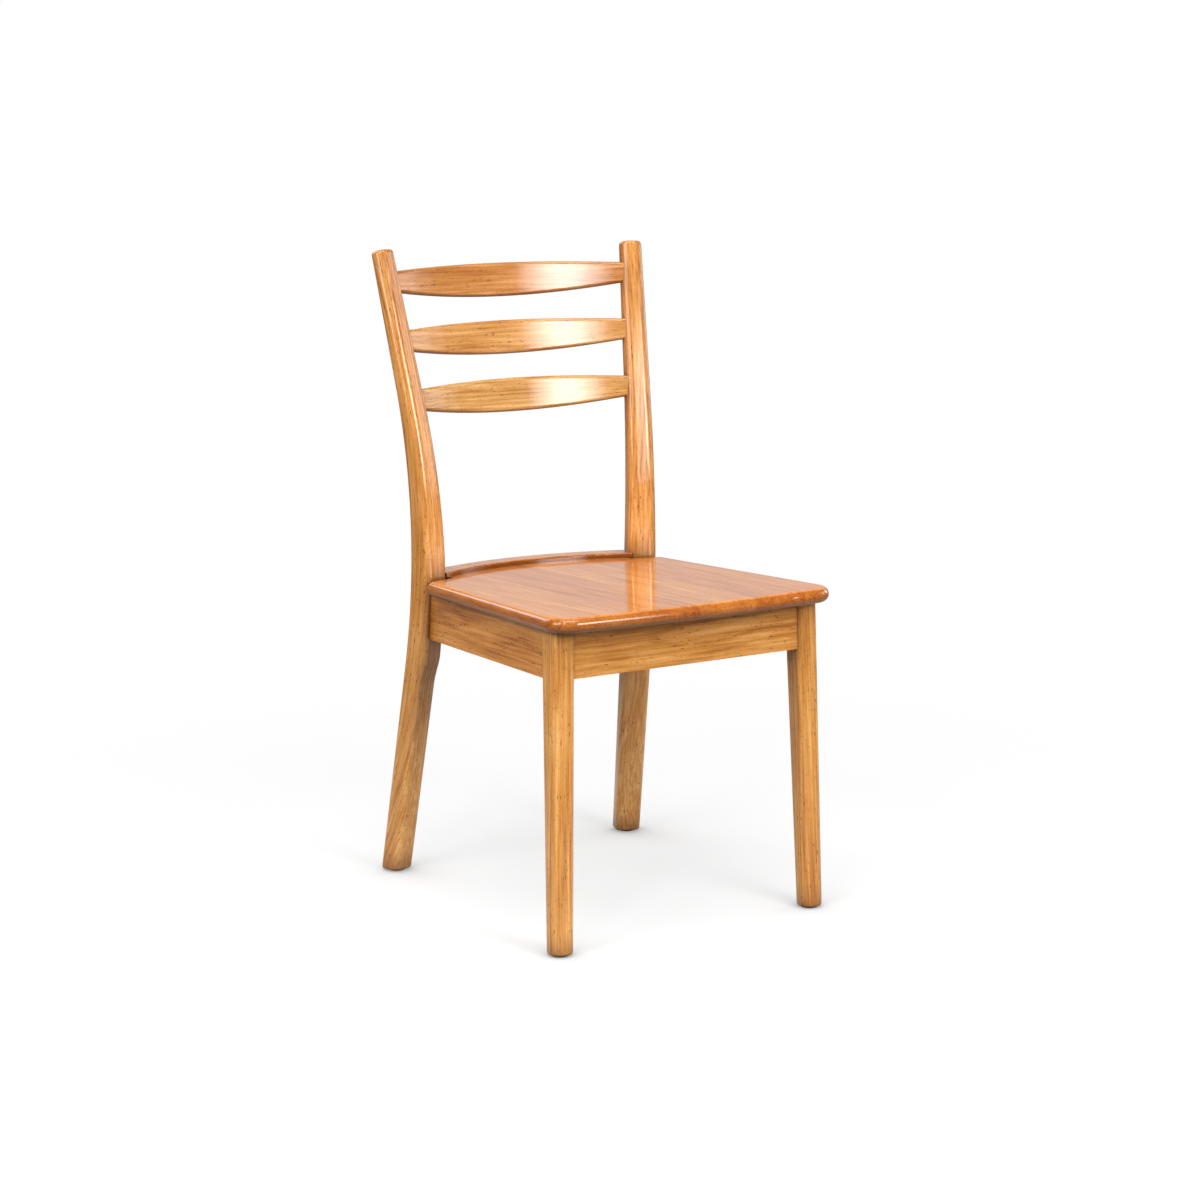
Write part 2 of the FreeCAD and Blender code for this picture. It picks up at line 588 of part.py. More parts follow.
def seat_notch():
    """The space of the right post, with its gap, as an upright block behind the post's face."""
    gap = size("post_gap")
    inner = size("seat_face_inner") + gap
    block = Part.makeBox(inner + 80, 80, 90, Vector(-inner, -gap, 0))
    edge = [e for e in block.Edges if abs(e.Vertexes[0].Point.x + inner) < 0.01
            and abs(e.Vertexes[1].Point.x + inner) < 0.01
            and abs(e.Vertexes[0].Point.y + gap) < 0.01 and abs(e.Vertexes[1].Point.y + gap) < 0.01]
    piece = doc.addObject("Part::Feature", "seat_notch")
    piece.Shape = block.makeFillet(size("post_front_radius") + gap, edge)
    piece.Placement = post_spot(0, 0, size("seat_height") - 60)
    return piece


# The slats

def slat_piece(label, level, posts):
    """A bowed slat with a lens outline, scribed to both posts, and its two tenons."""
    height = size(level)
    setback = post_face(height) + size("slat_setback")
    inner = post_inner(height)
    end = post_spot(-inner, setback, height).Base
    half = end.x
    bow = size("slat_bow")
    radius = (half * half + bow * bow) / (2 * bow)
    rise = (size("slat_centre_width") - size("slat_end_width")) / 2
    lens = (half * half + rise * rise) / (2 * rise)
    row = len(SIZES) + len(DERIVED) + 20 * (1 + [s[0] for s in SIZES].index(level))
    reach = math.asin((half + 9) / radius)
    outer = radius + size("slat_thickness")
    drop = lens - math.sqrt(lens * lens - (half + 25) ** 2)
    own = {"inner_x": radius * math.sin(reach), "inner_y": bow - radius + radius * math.cos(reach),
           "outer_x": outer * math.sin(reach), "outer_y": bow - radius + outer * math.cos(reach),
           "inner_radius": radius, "outer_radius": outer, "lens_radius": lens,
           "blank_x": half + 25, "lens_end": size("slat_centre_width") / 2 - drop,
           "blank_half": size("slat_centre_width") / 2 + 8, "blank_height": size("slat_centre_width") + 10}
    for number, (name, value) in enumerate(own.items()):
        sheet.set(f"B{row + number}", repr(value))
        sheet.setAlias(f"B{row + number}", f"{label}_{name}")
    doc.recompute()
    n = {name: f"{label}_{name}" for name in own}
    body = new_body(label + "_body")
    plan = new_sketch(body, label + "_plan", "XY_Plane")
    draw(plan, [("-" + n["inner_x"], n["inner_y"]), (n["inner_x"], n["inner_y"]),
                (n["outer_x"], n["outer_y"]), ("-" + n["outer_x"], n["outer_y"])],
         {0: (n["inner_radius"], 1), 2: (n["outer_radius"], -1)})
    pad(body, plan, n["blank_height"], middle=True)
    outline = new_sketch(body, label + "_outline", "XZ_Plane")
    for sign in ("", "-"):
        flip = 1 if sign == "" else -1
        draw(outline, [("-" + n["blank_x"], sign + n["lens_end"]), (n["blank_x"], sign + n["lens_end"]),
                       (n["blank_x"], sign + n["blank_half"]), ("-" + n["blank_x"], sign + n["blank_half"])],
             {0: (n["lens_radius"], flip)})
    pocket_through(body, outline)
    round_edges(body, "slat_edge_radius",
                lambda middle, run, edge: abs(middle.x) < 5)
    body.Placement = Placement(Vector(0, end.y, height), Rotation(Vector(1, 0, 0), -size("slat_lean")))
    scribed = cut(label + "_scribed", body, posts)
    tenons = [tenon_block(label + side, height, 0.0, size("tenon_length"), side == "_left")
              for side in ("_left", "_right")]
    piece = doc.addObject("Part::MultiFuse", label)
    piece.Label = label
    piece.Shapes = [scribed] + tenons
    return piece


def tenon_block(label, height, clearance, length, left=False):
    """A tenon, or with clearance its mortise, square to the inner face of a post."""
    back = 8.0 if clearance == 0 else 5.0
    block = doc.addObject("Part::Box", label + "_tenon")
    block.Length = back + length
    block.setExpression("Width", f"Sizes.tenon_thickness + {2 * clearance}")
    block.setExpression("Height", f"Sizes.tenon_width + {2 * clearance}")
    depth = post_face(height) + size("slat_setback") + size("slat_thickness") / 2
    corner = Vector(-post_inner(height) - back, depth - size("tenon_thickness") / 2 - clearance,
                    height - size("tenon_width") / 2 - clearance)
    block.Placement = post_spot(*corner)
    if left:
        return mirror(label + "_tenon_left", block)
    return block


# Round pieces: dowels, screws, glides and nails

def turned(profile):
    """A solid turned about Z from (radius, height) points."""
    points = [Vector(radius, 0, height) for radius, height in profile]
    face = Part.Face(Part.makePolygon(points + [points[0]]))
    return face.revolve(Vector(0, 0, 0), Vector(0, 0, 1), 360)


def dowel_shape(clearance=0.0, gap=0.0):
    """A dowel about the origin along Z, with bevelled ends; with clearance, its hole."""
    radius = size("dowel_diameter") / 2 + clearance
    half = size("dowel_length") / 2 + gap
    bevel = 0.0 if clearance else 1.0
    if not bevel:
        return Part.makeCylinder(radius, 2 * half, Vector(0, 0, -half))
    return turned([(0, -half), (radius - bevel, -half), (radius, -half + bevel),
                   (radius, half - bevel), (radius - bevel, half), (0, half)])


def screw_shape(length, clearance=0.0, sink=0.0):
    """A countersunk wood screw, its head's top at the origin, pointing up; with clearance, its hole."""
    head = size("screw_head_diameter") / 2 + clearance
    shank = size("screw_shank_diameter") / 2 + clearance
    tip = size("screw_tip_length")
    rim = 0.4
    cone = head - shank
    body = turned([(0, -sink), (head, -sink), (head, rim), (shank, rim + cone),
                   (shank, length - tip), (0.3, length), (0, length)])
    if clearance:
        return body
    slot = Part.makeBox(5.0, 1.1, 1.8, Vector(-2.5, -0.55, 0))
    cross = slot.fuse(slot.rotated(Vector(0, 0, 0), Vector(0, 0, 1), 90))
    return body.cut(cross)


def glide_shape():
    """A round glide with its underside at the origin, a hollow and a hole for the nail."""
    radius, height = size("glide_diameter") / 2, size("glide_height")
    hollow = size("glide_recess_diameter") / 2
    depth = size("nail_head_height") + 0.3
    hole = size("nail_shank_diameter") / 2 + size("nail_clearance")
    return turned([(hole, height), (radius, height), (radius, 0.8), (radius - 0.8, 0),
                   (hollow, 0), (hollow, depth), (hole, depth)])


def nail_shape(clearance=0.0):
    """A nail with its head's underside at the origin, pointing up; with clearance, its hole."""
    head, thick = size("nail_head_diameter") / 2, size("nail_head_height")
    shank = size("nail_shank_diameter") / 2 + clearance
    length = size("nail_length") + (0.5 if clearance else 0.0)
    return turned([(0, -thick), (head, -thick), (head, 0), (shank, 0),
                   (shank, length - 2), (0.2, length), (0, length)])


def holes(label, shape, places):
    """Holes of one shape in many places, to cut away."""
    return copies(label, shape, places)


def mirrored_places(places):
    """The same places on the left side of the chair, for pieces that are round about their axis."""
    result = []
    for spot in places:
        axis = spot.Rotation.multVec(Vector(0, 0, 1))
        turned_axis = Vector(-axis.x, axis.y, axis.z)
        result.append(Placement(Vector(-spot.Base.x, spot.Base.y, spot.Base.z),
                                Rotation(Vector(0, 0, 1), turned_axis)))
    return result


def along(x, y, z):
    """A rotation that turns Z to a direction."""
    return Rotation(Vector(0, 0, 1), Vector(x, y, z))


# Places of dowels, screws and nails on the right side

def leg_inner_x(depth):
    """The inner face of the right front leg, at a depth below the seat's top."""
    run = (size("leg_foot_spread") - size("leg_top_spread")) / 2 / size("leg_joint_rise")
    return size("leg_half_top") - size("leg_top_half") + run * (depth - size("seat_thickness"))


def side_line(y):
    """The middle of the right side apron, in the seat frame."""
    return size("side_front_x") - size("side_taper") * (y - size("leg_back_y")) - size("side_across") / 2


upper = size("seat_thickness") + size("dowel_edge")
lower = size("seat_thickness") + size("apron_height") - size("dowel_edge")
stagger = size("dowel_stagger")
middle_y = size("front_apron_y") + size("apron_thickness") / 2
front_dowels = [seat_spot(leg_inner_x(d), middle_y, -d, along(1, 0, 0)) for d in (upper, lower)]

taper = size("side_taper")
side_axis = along(-taper, 1, 0)
side_dowels = []
for d in (upper - stagger, lower - stagger):
    side_dowels.append(seat_spot(side_line(size("leg_back_y")), size("leg_back_y"), -d, side_axis))
    height = size("seat_height") - d - size("seat_post_y") * size("slope_sin")
    slant = size("post_step_high_set") / (size("post_land_height") - size("post_step_high_height"))
    set_back = max(0.0, size("post_land_height") - height) * slant
    joint_y = size("seat_post_y") + set_back - d * size("slope_sin")
    joint_y -= (side_line(joint_y) - size("post_half_spread")) * size("turn_sin") / size("turn_cos")
    side_dowels.append(seat_spot(side_line(joint_y), joint_y, -d, side_axis))

rear_middle = size("rear_apron_y") + size("apron_thickness") / 2
rear_step = rear_middle - size("inner_corner_y")
rear_face = size("inner_corner_x") + rear_step * size("turn_sin") / size("turn_cos")
rear_dowels = [seat_spot(rear_face, rear_middle, -d, along(1, 0, 0)) for d in (upper, lower)]


def block_places(corner_x, corner_y, way):
    """Screw places of a corner block; way is 1 at the front and -1 at the rear."""
    reach = size("block_leg") / 2
    shift = size("block_screw_spacing") / 2 / math.sqrt(2)
    depth = -size("seat_thickness") - size("block_screw_drop")
    sink = size("screw_sink") / math.sqrt(2)
    spots = []
    for side in (-1, 1):
        x = corner_x - reach + side * shift + sink
        y = corner_y + way * (reach + side * shift - sink)
        spots.append(seat_spot(x, y, depth, along(1, -way, 0)))
    return spots


def seat_screw_place(corner_x, corner_y, way):
    middle = (size("block_leg") + size("block_corner_cut")) / 4
    height = -size("seat_thickness") - size("block_height") + size("screw_sink")
    return seat_spot(corner_x - middle, corner_y + way * middle, height)


front_corner = size("front_block_x"), size("front_apron_inner_y")
rear_corner = size("rear_block_x"), size("rear_apron_y")
front_block_screws = block_places(*front_corner, 1)
rear_block_screws = block_places(*rear_corner, -1)
seat_screws = [seat_screw_place(*front_corner, 1), seat_screw_place(*rear_corner, -1)]

foot_front = Placement(Vector(size("leg_foot_spread") / 2, -size("leg_foot_reach"), 0), Rotation())
foot_rear = post_spot((size("post_foot_outer") - size("post_foot_inner")) / 2,
                      size("post_foot_rake") + size("post_foot_depth") / 2, 0)
foot_rear.Rotation = Rotation()
nail_lift = Vector(0, 0, size("nail_head_height") + 0.3)


def block_piece(label, corner_x, corner_y, way):
    """A corner block: long side across the corner, glued to two aprons, clear of the leg."""
    long, short = size("block_leg"), size("block_corner_cut")
    lean = size("side_taper")
    points = [(corner_x - long, corner_y), (corner_x - short, corner_y),
              (corner_x - way * lean * short, corner_y + way * short),
              (corner_x - way * lean * long, corner_y + way * long)]
    low = -size("seat_thickness") - size("block_height")
    wire = Part.makePolygon([Vector(x, y, low) for x, y in points + points[:1]])
    piece = doc.addObject("Part::Feature", label)
    piece.Shape = Part.Face(wire).extrude(Vector(0, 0, size("block_height")))
    piece.Placement = seat_frame
    return piece


# Assembly

post_blank = post_body()
post_blank_left = mirror("post_blank_left", post_blank)
leg_blank = leg_body()

slat_levels = [("slat_top", "slat_top_height"), ("slat_middle", "slat_middle_height"),
               ("slat_bottom", "slat_bottom_height")]
posts_both = [post_blank, post_blank_left]
slats = [slat_piece(label, level, posts_both) for label, level in slat_levels]

clear = size("dowel_clearance")
end_gap = size("joint_end_gap")
dowel_hole = dowel_shape(clear, end_gap)
play = size("screw_clearance")
block_screw = size("block_screw_length")
seat_screw = size("seat_screw_length")
block_hole = screw_shape(block_screw, play, 6.0)
seat_hole = screw_shape(seat_screw, play, 6.0)
nail_hole = nail_shape(size("nail_clearance"))


def raised(spots):
    return [Placement(s.Base + nail_lift, s.Rotation) for s in spots]


# posts and front legs

mortises = [tenon_block(label + "_mortise", size(level), size("tenon_clearance"), size("tenon_length") + end_gap)
            for label, level in slat_levels]
post_holes = holes("post_holes", dowel_hole, [side_dowels[1], side_dowels[3]] + rear_dowels)
post_nail = holes("post_nail_hole", nail_hole, raised([foot_rear]))
post_right = cut("post_rear_right", post_blank, mortises + [post_holes, post_nail])
post_left = mirror("post_rear_left", post_right)

above = doc.addObject("Part::Box", "space_over_leg")
above.Length, above.Width, above.Height = 120, 120, 60
above.Placement = seat_spot(size("leg_half_top") - 60, size("leg_back_y") - 80, -size("seat_thickness"))
leg_holes = holes("leg_holes", dowel_hole, front_dowels + [side_dowels[0], side_dowels[2]])
leg_nail = holes("leg_nail_hole", nail_hole, raised([foot_front]))
leg_right = cut("leg_front_right", leg_blank, [above, leg_holes, leg_nail])
leg_left = mirror("leg_front_left", leg_right)

# aprons

front_board = straight_apron("front_board", "front_apron_y", "leg_half_top")
rear_board = straight_apron("rear_board", "rear_apron_y", "rear_end_x")
leg_blank_left = mirror("leg_blank_left", leg_blank)
front_holes = holes("front_apron_holes", dowel_hole, front_dowels + mirrored_places(front_dowels))
front_pilots = holes("front_apron_pilots", block_hole,
                     front_block_screws + mirrored_places(front_block_screws))
apron_front = cut("apron_front", front_board, [leg_blank, leg_blank_left, front_holes, front_pilots])
rear_holes = holes("rear_apron_holes", dowel_hole, rear_dowels + mirrored_places(rear_dowels))
rear_pilots = holes("rear_apron_pilots", block_hole,
                    rear_block_screws + mirrored_places(rear_block_screws))
apron_rear = cut("apron_rear", rear_board, posts_both + [rear_holes, rear_pilots])
side_board = side_apron_body()
side_holes = holes("side_apron_holes", dowel_hole, side_dowels)
side_pilots = holes("side_apron_pilots", block_hole, front_block_screws + rear_block_screws)
apron_right = cut("apron_right", side_board, [leg_blank, post_blank, side_holes, side_pilots])
apron_left = mirror("apron_left", apron_right)

# corner blocks

blocks = []
for name, corner, way, spots, lift in (("front", front_corner, 1, front_block_screws, seat_screws[0]),
                                       ("rear", rear_corner, -1, rear_block_screws, seat_screws[1])):
    block = block_piece(f"block_blank_{name}", *corner, way)
    across = holes(f"block_{name}_holes", block_hole, spots)
    upward = holes(f"block_{name}_seat_hole", seat_hole, [lift])
    right = cut(f"corner_block_{name}_right", block, [across, upward])
    blocks += [right, mirror(f"corner_block_{name}_left", right)]

# seat staves

seat_blank = seat_body()
notch = seat_notch()
notch_left = mirror("seat_notch_left", notch)
seat_pilots = holes("seat_pilots", seat_hole, seat_screws + mirrored_places(seat_screws))
seat_whole = cut("seat_whole", seat_blank, [notch, notch_left, seat_pilots])
limits = [-400.0] + [size(n) for n in ("seam_far_left", "seam_left", "seam_right", "seam_far_right")] + [400.0]
stave_names = ["far_left", "left", "centre", "right", "far_right"]
staves = []
for name, start, end in zip(stave_names, limits, limits[1:]):
    slab = doc.addObject("Part::Box", "slab_" + name)
    slab.Length, slab.Width, slab.Height = end - start, 700, 120
    slab.Placement = seat_spot(start, -60, -80)
    stave = doc.addObject("Part::Common", "seat_stave_" + name)
    stave.Label = "seat_stave_" + name
    stave.Base = seat_whole
    stave.Tool = slab
    staves.append(stave)

# dowels, screws, glides and nails

both = lambda spots: spots + mirrored_places(spots)
dowel = dowel_shape()
fasteners = [
    copies("dowels_front_apron", dowel, both(front_dowels)),
    copies("dowels_side_aprons", dowel, both(side_dowels)),
    copies("dowels_rear_apron", dowel, both(rear_dowels)),
    copies("screws_corner_blocks", screw_shape(block_screw), both(front_block_screws + rear_block_screws)),
    copies("screws_seat", screw_shape(seat_screw), both(seat_screws)),
    copies("glides", glide_shape(), both([foot_front, foot_rear])),
    copies("glide_nails", nail_shape(), both(raised([foot_front, foot_rear]))),
]

doc.recompute()

# Checks, then one file for each node

nodes = [leg_left, leg_right, post_left, post_right] + slats
nodes += [apron_front, apron_left, apron_right, apron_rear] + staves + blocks + fasteners
for item in doc.Objects:
    if "Invalid" in item.State or "Error" in item.State:
        raise RuntimeError(item.Label + " failed: " + ", ".join(item.State))
for node in nodes:
    if node.Shape.isNull() or not node.Shape.isValid() or not node.Shape.Solids:
        raise RuntimeError(node.Label + " has no valid shape")

os.makedirs("parts", exist_ok=True)
for node in nodes:
    node.Shape.exportStep("parts/" + node.Label + ".step")
    print(node.Label, len(node.Shape.Solids), "solid(s)", round(node.Shape.Volume), "mm3")
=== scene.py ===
# Ladderback chair: wood looks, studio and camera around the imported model. Metres, +Z up, the chair faces -Y.
import bpy
import math
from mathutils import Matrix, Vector

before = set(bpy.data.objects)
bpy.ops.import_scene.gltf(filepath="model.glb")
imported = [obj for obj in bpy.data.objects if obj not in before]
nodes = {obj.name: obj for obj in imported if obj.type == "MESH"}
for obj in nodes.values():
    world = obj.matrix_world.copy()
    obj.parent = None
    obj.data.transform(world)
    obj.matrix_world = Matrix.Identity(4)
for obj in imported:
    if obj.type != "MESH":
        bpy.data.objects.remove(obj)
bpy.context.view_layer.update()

# The wood: one node group, with the board's directions, rings and tone as inputs

GRAIN = bpy.data.node_groups.new("wood_grain", "ShaderNodeTree")


class Graph:
    """Short calls that add nodes to a tree and join them."""

    def __init__(self, tree):
        self.tree = tree

    def add(self, kind, values=None, **settings):
        node = self.tree.nodes.new("ShaderNode" + kind)
        for name, value in settings.items():
            setattr(node, name, value)
        for name, value in (values or {}).items():
            self.put(node.inputs[name], value)
        return node

    def put(self, socket, value):
        if isinstance(value, bpy.types.NodeSocket):
            self.tree.links.new(value, socket)
        else:
            socket.default_value = value

    def math(self, operation, a, b=None, c=None, clamp=False):
        values = {i: v for i, v in enumerate((a, b, c)) if v is not None}
        return self.add("Math", values, operation=operation, use_clamp=clamp).outputs[0]

    def dot(self, a, b):
        return self.add("VectorMath", {0: a, 1: b}, operation="DOT_PRODUCT").outputs["Value"]

    def join(self, x, y, z):
        return self.add("CombineXYZ", {0: x, 1: y, 2: z}).outputs[0]

    def scaled(self, vector, x, y, z):
        return self.add("VectorMath", {0: vector, 1: (x, y, z)}, operation="MULTIPLY").outputs[0]

    def noise(self, vector, detail=2.0, rough=0.5, color=False):
        node = self.add("TexNoise", {"Vector": vector, "Scale": 1.0, "Detail": detail, "Roughness": rough})
        return node.outputs["Color" if color else "Fac"]

    def cells(self, vector):
        node = self.add("TexVoronoi", {"Vector": vector, "Scale": 1.0, "Randomness": 1.0})
        return node.outputs["Distance"], node.outputs["Color"]

    def ramp(self, fac, stops, ease="LINEAR"):
        node = self.add("ValToRGB", {"Fac": fac})
        node.color_ramp.interpolation = ease
        elements = node.color_ramp.elements
        while len(elements) < len(stops):
            elements.new(0.5)
        for element, (place, color) in zip(elements, stops):
            element.position = place
            element.color = color if len(color) == 4 else (*color, 1)
        return node.outputs["Color"]

    def step(self, value, low, high):
        return self.add("MapRange", {"Value": value, "From Min": low, "From Max": high,
                                     "To Min": 0.0, "To Max": 1.0},
                        interpolation_type="SMOOTHSTEP").outputs[0]

    def mix(self, fac, a, b, blend="MIX"):
        node = self.add("Mix", data_type="RGBA", blend_type=blend)
        for socket, value in ((node.inputs[0], fac), (node.inputs[6], a), (node.inputs[7], b)):
            self.put(socket, value)
        return node.outputs[2]


def grain_group():
    """Growth rings round a pith line, pores, fibres and slow colour changes, all in the solid, with painted
    shade in corners, under pieces and on the seat's edges.
    """
    sockets = [("Origin", "VECTOR"), ("Along", "VECTOR"), ("Across", "VECTOR"), ("Through", "VECTOR"),
               ("Bend", "FLOAT"), ("Pith", "VECTOR"), ("Ring", "FLOAT"), ("Seed", "FLOAT"),
               ("Figure", "FLOAT"),
               ("Tone", "FLOAT"), ("Tint", "RGBA"), ("Pores", "FLOAT"), ("Knot", "VECTOR"), ("Edge", "FLOAT"),
               ("Depth", "FLOAT"), ("Fade", "FLOAT")]
    for name, kind in sockets:
        kind = {"VECTOR": "NodeSocketVector", "FLOAT": "NodeSocketFloat", "RGBA": "NodeSocketColor"}[kind]
        GRAIN.interface.new_socket(name, in_out="INPUT", socket_type=kind)
    results = (("Color", "NodeSocketColor"), ("Rough", "NodeSocketFloat"), ("Height", "NodeSocketFloat"))
    for name, kind in results:
        GRAIN.interface.new_socket(name, in_out="OUTPUT", socket_type=kind)
    g = Graph(GRAIN)
    given = GRAIN.nodes.new("NodeGroupInput").outputs
    place = g.add("TexCoord").outputs["Object"]
    local = g.add("VectorMath", {0: place, 1: given["Origin"]}, operation="SUBTRACT").outputs[0]
    along = g.dot(local, given["Along"])
    across = g.dot(local, given["Across"])
    bow = g.math("MULTIPLY", g.math("MULTIPLY", along, along), given["Bend"])
    through = g.math("SUBTRACT", g.dot(local, given["Through"]), bow)
    shift = g.math("MULTIPLY", given["Seed"], 3.7)
    solid = g.join(g.math("ADD", along, shift), g.math("ADD", across, shift), through)

    # knots push the rings aside and are dark in the middle
    away = g.add("VectorMath", {0: place, 1: given["Knot"]}, operation="DISTANCE").outputs["Value"]
    knot = g.step(away, 0.0032, 0.0012)
    halo = g.step(away, 0.016, 0.002)

    # rings
    sway = g.noise(g.scaled(solid, 2.6, 11.0, 11.0), 1.5, 0.5, color=True)
    sway = g.add("VectorMath", {0: sway, 1: (0.5, 0.5, 0.5)}, operation="SUBTRACT").outputs[0]
    sway = g.add("VectorMath", {0: sway, "Scale": given["Figure"]}, operation="SCALE").outputs[0]
    ripple = g.math("MULTIPLY", g.noise(g.scaled(solid, 16.0, 90.0, 90.0), 3.0, 0.6), 0.0042)
    section = g.add("VectorMath", {0: g.join(0.0, across, through), 1: given["Pith"]},
                    operation="SUBTRACT").outputs[0]
    section = g.add("VectorMath", {0: section, 1: sway}, operation="ADD").outputs[0]
    section = g.scaled(section, 0.0, 1.0, 1.0)
    radius = g.add("VectorMath", {0: section}, operation="LENGTH").outputs["Value"]
    radius = g.math("ADD", g.math("ADD", radius, ripple), g.math("MULTIPLY", halo, 0.002))
    rings = g.math("DIVIDE", radius, given["Ring"])
    phase = g.math("FRACT", rings)
    year = g.noise(g.join(g.math("MULTIPLY", rings, 0.61), given["Seed"], 0.0), 1.0)
    early = g.add("SeparateXYZ", {0: g.ramp(phase, [
        (0.0, (0.75, 0.75, 0.75)), (0.08, (1, 1, 1)), (0.32, (0.35, 0.35, 0.35)), (0.6, (0.12, 0.12, 0.12)),
        (0.88, (0.3, 0.3, 0.3)), (1.0, (0.75, 0.75, 0.75))], "EASE")}).outputs[0]
    early = g.math("MULTIPLY", early, g.math("MULTIPLY_ADD", year, 1.1, 0.35))

    # pores: short dark vessels along the grain, in a coarse and a fine set
    far, kinds = g.cells(g.scaled(solid, 84.0, 340.0, 340.0))
    luck = g.add("SeparateXYZ", {0: kinds}).outputs[0]
    reach = g.math("MULTIPLY", luck, g.math("MULTIPLY_ADD", early, 0.16, 0.20))
    coarse = g.math("SUBTRACT", 1.0, g.step(g.math("SUBTRACT", far, reach), -0.05, 0.05))
    clumps = g.step(g.noise(g.scaled(solid, 14.0, 60.0, 60.0), 1.0), 0.36, 0.6)
    coarse = g.math("MULTIPLY", coarse, g.math("MULTIPLY_ADD", clumps, 0.75, 0.25))
    far, kinds = g.cells(g.scaled(solid, 150.0, 820.0, 820.0))
    luck = g.add("SeparateXYZ", {0: kinds}).outputs[1]
    reach = g.math("MULTIPLY", luck, 0.34)
    fine = g.math("SUBTRACT", 1.0, g.step(g.math("SUBTRACT", far, reach), -0.06, 0.06))
    pores = g.math("ADD", coarse, g.math("MULTIPLY", fine, 0.55), clamp=True)
    pores = g.math("MULTIPLY", pores, given["Pores"])

    # fibres and slow changes
    fibre = g.noise(g.scaled(solid, 34.0, 2100.0, 2100.0), 2.0, 0.6)
    streak = g.noise(g.scaled(solid, 7.0, 270.0, 270.0), 3.0, 0.65)
    cloud = g.noise(g.scaled(solid, 7.0, 34.0, 34.0), 3.0, 0.55)
    tone = g.math("MULTIPLY_ADD", early, -0.22, 0.05)
    tone = g.math("ADD", tone, g.math("MULTIPLY_ADD", fibre, 0.34, -0.17))
    tone = g.math("ADD", tone, g.math("MULTIPLY_ADD", streak, 1.5, -0.75))
    tone = g.math("ADD", tone, g.math("MULTIPLY_ADD", cloud, 0.95, -0.475))
    tone = g.math("MULTIPLY_ADD", tone, given["Depth"], 0.61)
    tone = g.math("ADD", tone, given["Tone"])
    # painted shade and light: Fade darkens the colour one way along the piece and lightens it the other
    tone = g.math("MULTIPLY_ADD", along, given["Fade"], tone)
    color = g.ramp(tone, [(0.0, (0.28, 0.080, 0.011)), (0.3, (0.47, 0.160, 0.024)),
                          (0.6, (0.64, 0.262, 0.054)), (0.85, (0.76, 0.350, 0.090)),
                          (1.0, (0.84, 0.43, 0.14))])
    color = g.mix(1.0, color, given["Tint"], "MULTIPLY")
    color = g.mix(g.math("MULTIPLY", pores, 0.8), color, (0.150, 0.048, 0.009, 1))
    color = g.mix(g.math("MULTIPLY", knot, 0.85), color, (0.07, 0.018, 0.005, 1))

    # painted shade: dark lines where pieces meet and a softer shade in corners, both from ambient occlusion
    joint_shade = g.add("AmbientOcclusion", {"Distance": 0.006}, samples=4).outputs["AO"]
    joint_shade = g.step(joint_shade, 0.35, 0.9)
    color = g.mix(g.math("MULTIPLY_ADD", joint_shade, -0.8, 0.8), color, (0.075, 0.020, 0.004, 1))
    shade = g.step(g.add("AmbientOcclusion", {"Distance": 0.04}, samples=4).outputs["AO"], 0.45, 0.98)
    color = g.mix(g.math("MULTIPLY_ADD", shade, -0.85, 0.85), color, (0.16, 0.048, 0.008, 1))

    # painted shade: undersides are darker, and so are the rounded edges of the seat, which turn away from the
    # top
    facing = g.add("SeparateXYZ", {0: g.add("TexCoord").outputs["Normal"]}).outputs[2]
    under_shade = g.step(facing, -0.1, -0.75)
    color = g.mix(g.math("MULTIPLY", under_shade, 0.6), color, (0.11, 0.034, 0.006, 1))
    edge_shade = g.math("MULTIPLY", g.step(facing, 0.97, 0.80), given["Edge"])
    color = g.mix(edge_shade, color, (0.56, 0.45, 0.32, 1), "MULTIPLY")

    rough = g.math("MULTIPLY_ADD", pores, 0.18, g.math("MULTIPLY_ADD", fibre, 0.12, 0.30))
    height = g.math("SUBTRACT", g.math("MULTIPLY", fibre, 0.25), pores)
    out = GRAIN.nodes.new("NodeGroupOutput")
    g.put(out.inputs["Color"], color)
    g.put(out.inputs["Rough"], rough)
    g.put(out.inputs["Height"], height)


grain_group()


def wood(name, origin, along, across, seed, pith=(0.05, 0.03), ring=0.0034, bend=0.0, figure=0.02,
         tone=0.0, tint=(1, 1, 1), pores=1.0, knot=(9, 9, 9), coat=0.07, edge_shade=0.0, depth=1.0, painted_fade=0.0):
    """A lacquered board: grain along one direction, the pith set aside from its middle."""
    material = bpy.data.materials.new(name)
    g = empty_tree(material)
    u = Vector(along).normalized()
    v = Vector(across)
    v = (v - u * v.dot(u)).normalized()
    w = u.cross(v)
    group = g.tree.nodes.new("ShaderNodeGroup")
    group.node_tree = GRAIN
    values = {"Origin": origin, "Along": u, "Across": v, "Through": w, "Bend": bend,
              "Pith": (0, *pith), "Ring": ring, "Seed": seed, "Figure": figure, "Tone": tone,
              "Tint": (*tint, 1), "Pores": pores, "Knot": knot, "Edge": edge_shade, "Depth": depth,
              "Fade": painted_fade}
    for key, value in values.items():
        group.inputs[key].default_value = value
    bump = g.add("Bump", {"Height": group.outputs["Height"], "Strength": 0.25, "Distance": 0.0002})
    soft = g.add("Bump", {"Height": group.outputs["Height"], "Strength": 0.006, "Distance": 0.0002})
    shader = g.add("BsdfPrincipled", {
        "Base Color": group.outputs["Color"], "Roughness": group.outputs["Rough"], "Normal": bump.outputs[0],
        "Specular IOR Level": 0.1, "Coat Weight": 1.0, "Coat Roughness": coat, "Coat IOR": 1.5,
        "Coat Normal": soft.outputs[0]})
    g.add("OutputMaterial", {"Surface": shader.outputs[0]})
    return material


def empty_tree(owner):
    """An empty node tree for a material or the world."""
    owner.use_nodes = True
    owner.node_tree.nodes.clear()
    return Graph(owner.node_tree)


def dress(name, material):
    """Give one piece its material."""
    slots = nodes[name].data.materials
    slots.clear()
    slots.append(material)


